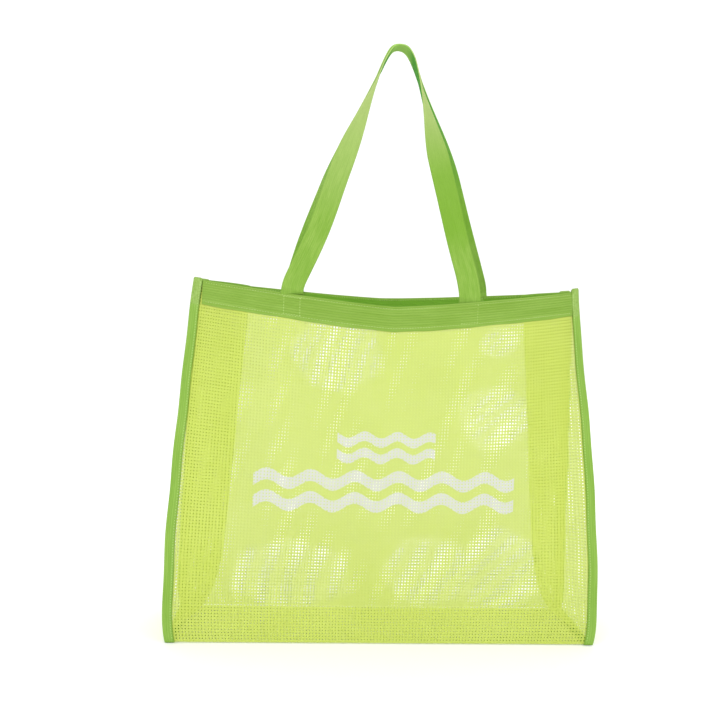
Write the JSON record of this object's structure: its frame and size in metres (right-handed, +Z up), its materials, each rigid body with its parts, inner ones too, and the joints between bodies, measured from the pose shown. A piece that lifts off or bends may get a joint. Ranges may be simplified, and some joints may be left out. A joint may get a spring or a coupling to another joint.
{
  "type": "beach bag",
  "caption": "See-through net tote with folded-in side gussets, ribbed webbing hems, bound side seams and webbing loop handles.",
  "frame": {"origin": "on the floor under the middle of the bottom panel", "axes": "+Z up, -Y towards the front panel, +X to the right of someone facing the front"},
  "size_m": [0.4462, 0.1438, 0.622],
  "materials": {
    "net": "satin",
    "hem_webbing": "matte",
    "binding_tape": "matte",
    "handle_webbing": "matte"
  },
  "bodies": {
    "base": {"bottom_panel": "net", "left_gusset": "net", "right_gusset": "net", "left_gusset_hem": "hem_webbing", "right_gusset_hem": "hem_webbing", "left_bottom_binding": "binding_tape", "right_bottom_binding": "binding_tape"},
    "front_side": {"front_panel": "net", "front_hem": "hem_webbing", "left_front_binding": "binding_tape", "right_front_binding": "binding_tape", "front_handle_left_end": "handle_webbing", "front_handle_right_end": "handle_webbing"},
    "back_side": {"back_panel": "net", "back_hem": "hem_webbing", "left_back_binding": "binding_tape", "right_back_binding": "binding_tape", "back_handle_left_end": "handle_webbing", "back_handle_right_end": "handle_webbing"},
    "front_handle": {"front_handle": "handle_webbing"},
    "back_handle": {"back_handle": "handle_webbing"}
  },
  "joints": [
    {"name": "front_side_spread", "type": "hinge", "parent": "base", "child": "front_side", "pos_m": [0, -0.055, 0.001], "axis": [1, 0, 0], "range_deg": [0, 6]},
    {"name": "back_side_spread", "type": "hinge", "parent": "base", "child": "back_side", "pos_m": [0, 0.055, 0.001], "axis": [-1, 0, 0], "range_deg": [0, 6]},
    {"name": "front_handle_swing", "type": "hinge", "parent": "front_side", "child": "front_handle", "pos_m": [0, -0.07, 0.356], "axis": [1, 0, 0], "range_deg": [0, 175]},
    {"name": "back_handle_swing", "type": "hinge", "parent": "back_side", "child": "back_handle", "pos_m": [0, 0.07, 0.363], "axis": [-1, 0, 0], "range_deg": [0, 175]}
  ]
}
